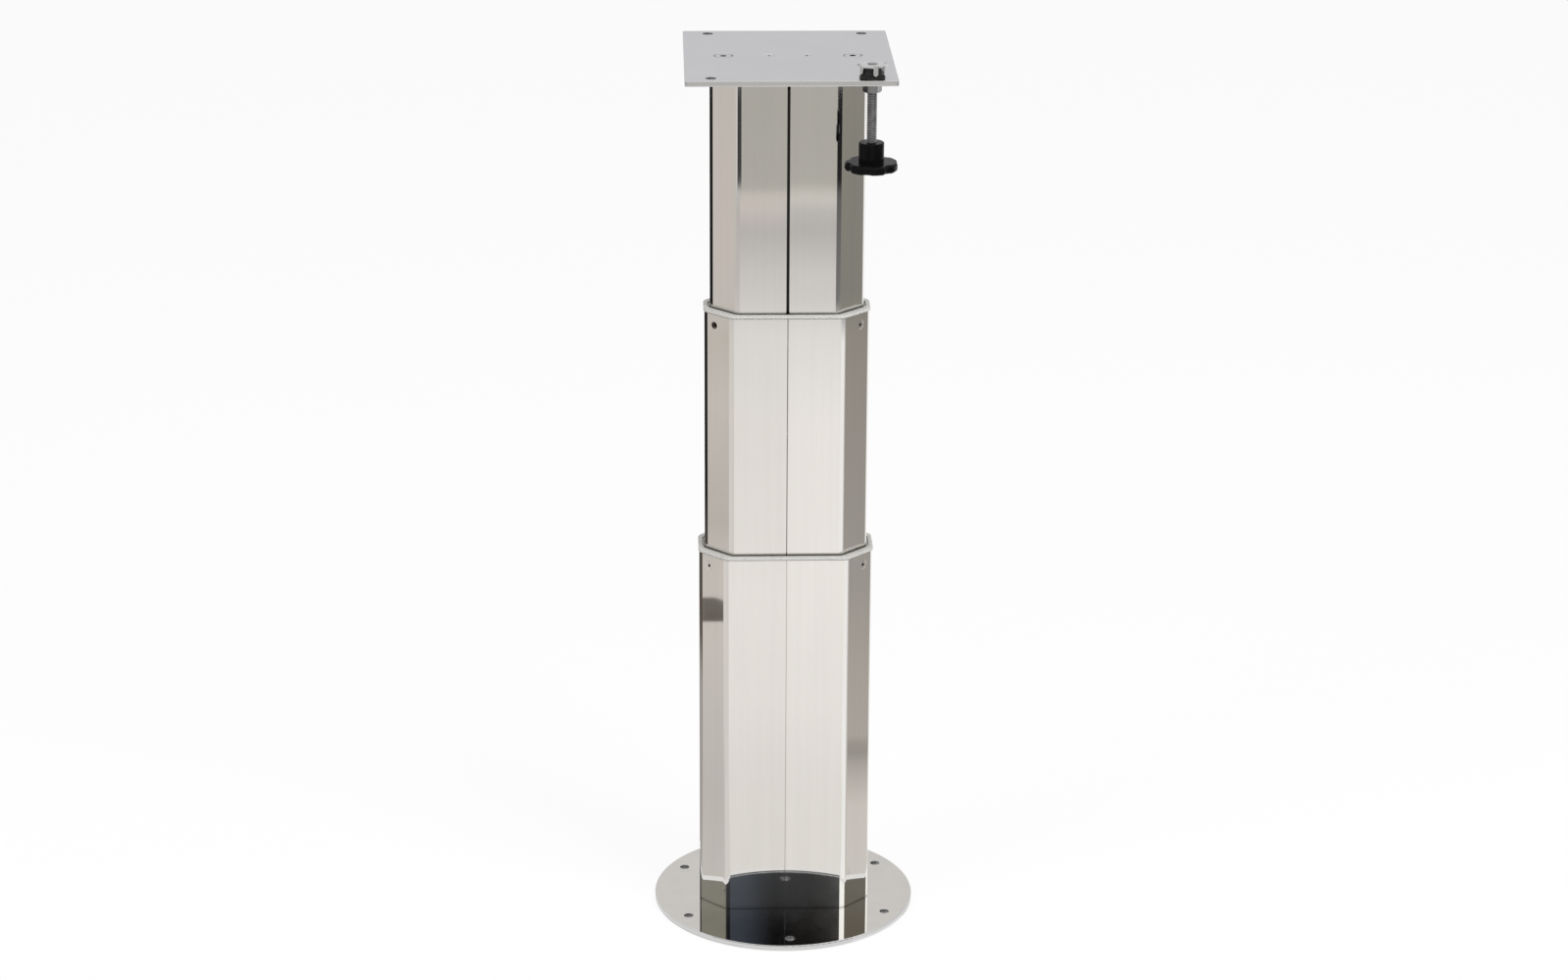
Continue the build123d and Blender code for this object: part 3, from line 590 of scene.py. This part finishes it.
# Inner edge of the strip that the left side face mirrors: place at the leg and drift with distance
SIDE_STRIP_START = 0.060
SIDE_STRIP_SLOPE = 0.025
SIDE_STRIP_OVERLAP = 0.02

# The ring of floor that the base plate's rim mirrors
BASE_RADIUS = 0.110
RIM_LIGHT_RADIUS = 0.124
RIM_LIGHT_LEVEL = 0.86

# The dark line that the front faces mirror along the base plate's edge
RIM_LINE_WIDTH = 0.0028
RIM_LINE_COLOUR = (0.08, 0.085, 0.09)

# A dark thing in the room that the lower left corner face mirrors: its inner edge, and by distance
# its outer edge and colour
PATCH_INNER_EDGE = -0.025
PATCH_OUTLINE = [
    (-0.792, -0.040, (0.15, 0.135, 0.12)),
    (-0.785, -0.048, (0.17, 0.155, 0.14)),
    (-0.775, -0.053, (0.17, 0.155, 0.14)),
    (-0.764, -0.0562, (0.17, 0.155, 0.14)),
    (-0.754, -0.0575, (0.16, 0.145, 0.13)),
    (-0.724, -0.058, (0.14, 0.125, 0.11)),
]

# What the column's faces mirror: brightness of the studio floor by distance from the leg in metres
FRONT_LEFT_FLOOR = [
    (0.10, (0.83, 0.82, 0.79)),
    (0.30, (0.84, 0.82, 0.80)),
    (0.50, (0.90, 0.88, 0.86)),
    (0.80, (0.92, 0.90, 0.88)),
    (0.95, (0.89, 0.87, 0.85)),
    (1.35, (0.875, 0.855, 0.835)),
    (1.70, (0.83, 0.82, 0.81)),
    (1.85, (0.725, 0.71, 0.70)),
    (1.98, (0.67, 0.66, 0.65)),
    (2.19, (0.54, 0.53, 0.52)),
    (2.30, (0.66, 0.61, 0.585)),
    (2.36, (0.665, 0.62, 0.59)),
    (2.40, (0.62, 0.59, 0.555)),
    (2.41, (0.485, 0.475, 0.445)),
    (3.16, (0.47, 0.46, 0.43)),
    (3.17, (0.70, 0.69, 0.67)),
    (3.40, (0.72, 0.71, 0.69)),
]
FRONT_RIGHT_FLOOR = [
    (0.10, (0.86, 0.85, 0.82)),
    (0.30, (0.87, 0.85, 0.83)),
    (0.50, (0.93, 0.91, 0.89)),
    (0.80, (0.96, 0.94, 0.92)),
    (1.35, (0.96, 0.94, 0.92)),
    (1.70, (0.86, 0.85, 0.84)),
    (1.85, (0.735, 0.72, 0.71)),
    (1.98, (0.70, 0.69, 0.68)),
    (2.19, (0.54, 0.53, 0.52)),
    (2.30, (0.585, 0.57, 0.555)),
    (2.345, (0.68, 0.665, 0.63)),
    (2.375, (0.68, 0.665, 0.63)),
    (2.42, (0.60, 0.58, 0.545)),
    (2.44, (0.49, 0.48, 0.45)),
    (3.16, (0.47, 0.46, 0.43)),
    (3.17, (0.70, 0.69, 0.67)),
    (3.40, (0.72, 0.71, 0.69)),
]
LEFT_FLOOR = [
    (0.10, (0.62, 0.60, 0.58)),
    (0.30, (0.58, 0.56, 0.54)),
    (0.50, (0.62, 0.59, 0.57)),
    (0.72, (0.66, 0.63, 0.60)),
    (0.90, (0.64, 0.60, 0.57)),
    (1.01, (0.55, 0.52, 0.49)),
    (1.45, (0.64, 0.60, 0.57)),
    (1.70, (0.58, 0.55, 0.51)),
    (1.86, (0.625, 0.585, 0.56)),
    (2.25, (0.64, 0.59, 0.56)),
    (3.42, (0.60, 0.57, 0.54)),
]
RIGHT_FLOOR = [
    (0.10, (0.70, 0.67, 0.65)),
    (0.27, (0.68, 0.65, 0.62)),
    (0.36, (0.47, 0.44, 0.42)),
    (0.39, (0.36, 0.34, 0.32)),
    (0.41, (0.38, 0.36, 0.33)),
    (0.43, (0.47, 0.44, 0.41)),
    (0.60, (0.45, 0.42, 0.39)),
    (0.85, (0.38, 0.36, 0.34)),
    (1.70, (0.32, 0.30, 0.27)),
    (1.90, (0.255, 0.25, 0.225)),
    (3.42, (0.29, 0.28, 0.25)),
]
LEFT_CORNER_FLOOR = [
    (0.10, (0.75, 0.73, 0.71)),
    (1.70, (0.72, 0.69, 0.67)),
    (1.95, (0.60, 0.58, 0.56)),
    (2.30, (0.55, 0.53, 0.51)),
    (2.42, grey(0.60)),
    (2.48, (0.74, 0.71, 0.69)),
    (3.12, (0.76, 0.73, 0.71)),
]
FAR_FLOOR = [
    (3.42, (0.60, 0.59, 0.57)),
    (4.20, (0.52, 0.51, 0.49)),
    (5.50, (0.70, 0.69, 0.67)),
    (9.00, (0.80, 0.79, 0.78)),
    (14.5, (0.86, 0.86, 0.85)),
]
LEFT_NEAR_FLOOR = [
    (RIM_LIGHT_RADIUS, (0.62, 0.60, 0.58)),
    (0.30, (0.60, 0.58, 0.56)),
    (0.45, (0.70, 0.68, 0.66)),
]
RIGHT_NEAR_FLOOR = [
    (0.10, (0.86, 0.85, 0.82)),
    (0.30, (0.90, 0.89, 0.87)),
    (0.40, grey(1.0)),
]
LEFT_BEND_DARK = [
    (2.43, grey(0.30)),
    (2.48, grey(0.06)),
    (3.12, grey(0.05)),
]
RIGHT_CORNER_FLOOR = [
    (0.10, (0.64, 0.62, 0.60)),
    (1.70, (0.52, 0.50, 0.48)),
    (1.90, grey(0.22)),
    (2.40, grey(0.14)),
    (2.48, grey(0.02)),
    (3.12, grey(0.01)),
]
RIGHT_FRONT_FLOOR = [
    (1.70, grey(0.95)),
    (1.86, grey(0.20)),
    (2.40, grey(0.14)),
    (2.48, grey(0.02)),
    (3.12, grey(0.01)),
]
LEFT_EDGE_FLOOR = [
    (0.10, (0.66, 0.64, 0.62)),
    (0.80, (0.78, 0.76, 0.74)),
    (1.70, (0.72, 0.69, 0.67)),
    (1.95, (0.60, 0.58, 0.56)),
    (5.00, (0.66, 0.63, 0.61)),
]
BACK_CORNER_FLOOR = [
    (0.13, (0.42, 0.40, 0.38)),
    (0.55, (0.38, 0.36, 0.34)),
    (0.68, (0.12, 0.10, 0.085)),
    (0.90, (0.09, 0.08, 0.07)),
    (1.10, grey(0.015)),
    (3.16, grey(0.01)),
]


def add_studio():
    """White floor with grey and dark cards that the polished faces mirror."""
    half = FLOOR_SIZE / 2
    floor = quad(
        "floor",
        [
            (-half, -half, -FLOOR_DROP),
            (half, -half, -FLOOR_DROP),
            (half, half, -FLOOR_DROP),
            (-half, half, -FLOOR_DROP),
        ],
    )
    floor.data.materials.append(floor_material())
    finish = card_material()
    sectors = {
        "front_left_card": (-110, FRONT_SPLIT_DEG, FRONT_LEFT_FLOOR),
        "front_right_card": (FRONT_SPLIT_DEG, -70, FRONT_RIGHT_FLOOR),
        "left_card": (176, 192, LEFT_FLOOR),
        "left_edge_card": (192, 210, LEFT_EDGE_FLOOR),
        "right_card": (-12, 25, RIGHT_FLOOR),
        "left_corner_card": (210, 250, LEFT_CORNER_FLOOR),
        "right_front_card": (-70, -25, RIGHT_FRONT_FLOOR),
        "right_corner_card": (-25, -12, RIGHT_CORNER_FLOOR),
        "left_back_card": (BACK_SPLIT_DEG, 176, BACK_CORNER_FLOOR),
        "back_card": (65, BACK_SPLIT_DEG, FRONT_RIGHT_FLOOR),
        "far_card": (0, 360, FAR_FLOOR),
        "right_near_card": (-70, -60, RIGHT_NEAR_FLOOR),
    }
    for name, (start, end, stops) in sectors.items():
        add_card(name, wedge(start, end, stops, CARD_LIFT), finish)
    ring = [(BASE_RADIUS, grey(RIM_LIGHT_LEVEL)), (RIM_LIGHT_RADIUS, grey(RIM_LIGHT_LEVEL))]
    add_card("rim_light", wedge(0, 360, ring, UPPER_CARD_LIFT), finish)
    plate_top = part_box("base_plate")[1][2]
    line_radius = BASE_RADIUS + RIM_LINE_WIDTH
    line = [(BASE_RADIUS, RIM_LINE_COLOUR), (line_radius, RIM_LINE_COLOUR)]
    add_card("rim_line", wedge(-125, -60, line, plate_top), finish)
    add_card("left_side_card", side_strip(BACK_CORNER_FLOOR, UPPER_CARD_LIFT), finish)
    add_card("left_near_card", wedge(192, 204, LEFT_NEAR_FLOOR, UPPER_CARD_LIFT), finish)
    add_card("left_bend_dark", wedge(222, 262, LEFT_BEND_DARK, UPPER_CARD_LIFT), finish)
    patch = [
        ([(far, PATCH_INNER_EDGE, UPPER_CARD_LIFT), (far, side, UPPER_CARD_LIFT)], colour)
        for far, side, colour in PATCH_OUTLINE
    ]
    add_card("left_dark_patch", patch, finish)


def ramp(tree, value, stops):
    """Colour by a value, straight from each stop of (value, colour) to the next."""
    colour = stops[0][1]
    for (start, _), (end, next_colour) in zip(stops, stops[1:]):
        share = spread(tree, value, 0.0, 1.0, start, end)
        colour = shade_between(tree, colour, next_colour, share)
    return colour


# Brightness of the world for light that isn't mirrored
WORLD_LEVEL = 0.62

# The unlit room is seen between these upward parts of a direction, by light that has met two
# mirrors, whose glossy depth is above ONE_MIRROR
ROOM_RISE = 0.30
CEILING_EDGE = (0.56, 0.72)
ONE_MIRROR = 1.5

# The room by the sideways part of a direction, from full left to full right
ROOM = [
    (-0.80, (0.30, 0.29, 0.24)),
    (-0.60, (0.012, 0.012, 0.016)),
    (-0.10, (0.012, 0.012, 0.016)),
    (0.0215, (0.060, 0.072, 0.095)),
    (0.0255, (0.035, 0.041, 0.053)),
    (0.029, (0.003, 0.002, 0.001)),
    (0.051, (0.003, 0.002, 0.001)),
    (0.054, (0.55, 0.55, 0.54)),
    (0.10, (0.60, 0.60, 0.59)),
    (0.14, (1.40, 1.40, 1.36)),
    (0.80, (1.40, 1.40, 1.36)),
    (0.86, (0.175, 0.157, 0.125)),
]

# Haze low down in the room, drawn into upright streaks, and the brightness of the room's walls, by
# the upward part of a direction
HAZE_STREAKS = (250.0, 0.0, 0.0)
HAZE_STREAK_RANGE = (0.4, 1.0)
ROOM_HAZE = [
    (0.428, (0.085, 0.090, 0.095)),
    (0.4335, (0.042, 0.045, 0.050)),
    (0.4345, (0.050, 0.053, 0.057)),
    (0.4352, (0.150, 0.152, 0.152)),
    (0.4358, (0.150, 0.152, 0.152)),
    (0.4362, grey(0.0)),
]
WALLS = [
    (0.26, (0.665, 0.665, 0.69)),
    (0.42, (0.765, 0.74, 0.706)),
    (0.50, (0.77, 0.745, 0.71)),
    (0.85, grey(1.0)),
]


def world_light():
    """White to the camera, pale walls and a white ceiling to metal, and a plain level for the rest.

    Light that has met two mirrors already comes from the unlit room round the camera: dark ahead,
    hazy below, bright between the cards at the right, and grey at both sides.
    """
    world = bpy.data.worlds.new("studio")
    bpy.context.scene.world = world
    world.use_nodes = True
    tree = world.node_tree
    rays = tree.nodes.new("ShaderNodeLightPath")
    place = tree.nodes.new("ShaderNodeTexCoord")
    parts = tree.nodes.new("ShaderNodeSeparateXYZ")
    tree.links.new(place.outputs["Generated"], parts.inputs["Vector"])
    across, up = parts.outputs["X"], parts.outputs["Z"]
    room = ramp(tree, across, ROOM)
    streaks = noise(tree, surface_place(tree, HAZE_STREAKS, "Generated"), 1.0, 2.0)
    density = spread(tree, streaks, *HAZE_STREAK_RANGE)
    haze = shade_between(tree, grey(0.0), ramp(tree, up, ROOM_HAZE), density)
    dim_room = tree.nodes.new("ShaderNodeMix")
    dim_room.data_type = "RGBA"
    dim_room.blend_type = "ADD"
    dim_room.inputs["Factor"].default_value = 1.0
    tree.links.new(room, dim_room.inputs["A"])
    tree.links.new(haze, dim_room.inputs["B"])
    direct = arithmetic(
        tree, "MAXIMUM", rays.outputs["Is Camera Ray"], rays.outputs["Is Transmission Ray"]
    )
    lit = shade_between(tree, grey(WORLD_LEVEL), grey(1.0), direct)
    mirrored = shade_between(tree, lit, ramp(tree, up, WALLS), rays.outputs["Is Glossy Ray"])
    second = arithmetic(tree, "GREATER_THAN", rays.outputs["Glossy Depth"], ONE_MIRROR)
    above_floor = arithmetic(tree, "GREATER_THAN", up, ROOM_RISE)
    below_ceiling = spread(tree, up, 1.0, 0.0, *CEILING_EDGE)
    in_room = arithmetic(tree, "MULTIPLY", above_floor, below_ceiling)
    twice = arithmetic(tree, "MULTIPLY", second, in_room)
    shown = shade_between(tree, mirrored, dim_room.outputs["Result"], twice)
    tree.links.new(shown, tree.nodes["Background"].inputs["Color"])


# Soft lamps: edge length and the point that they shine on, in metres
SOFTBOX_SIZE = 1.2
SOFTBOX_AIM = Vector((0.0, 0.0, 0.4))


def add_softbox(name, place, power):
    """A large soft lamp that shines from a place towards the middle of the leg."""
    lamp = bpy.data.lights.new(name, "AREA")
    lamp.shape = "SQUARE"
    lamp.size = SOFTBOX_SIZE
    lamp.energy = power
    softbox = bpy.data.objects.new(name, lamp)
    direction = SOFTBOX_AIM - Vector(place)
    softbox.matrix_world = (
        Matrix.Translation(place) @ direction.to_track_quat("-Z", "Y").to_matrix().to_4x4()
    )
    softbox.visible_glossy = False
    bpy.context.scene.collection.objects.link(softbox)


add_threaded_rod()
add_camera()
add_studio()
world_light()
add_softbox("key_softbox", (1.6, -1.6, 2.4), 45.0)
add_softbox("fill_softbox", (-1.8, -1.2, 2.0), 18.0)

bpy.context.scene.view_settings.view_transform = "Standard"
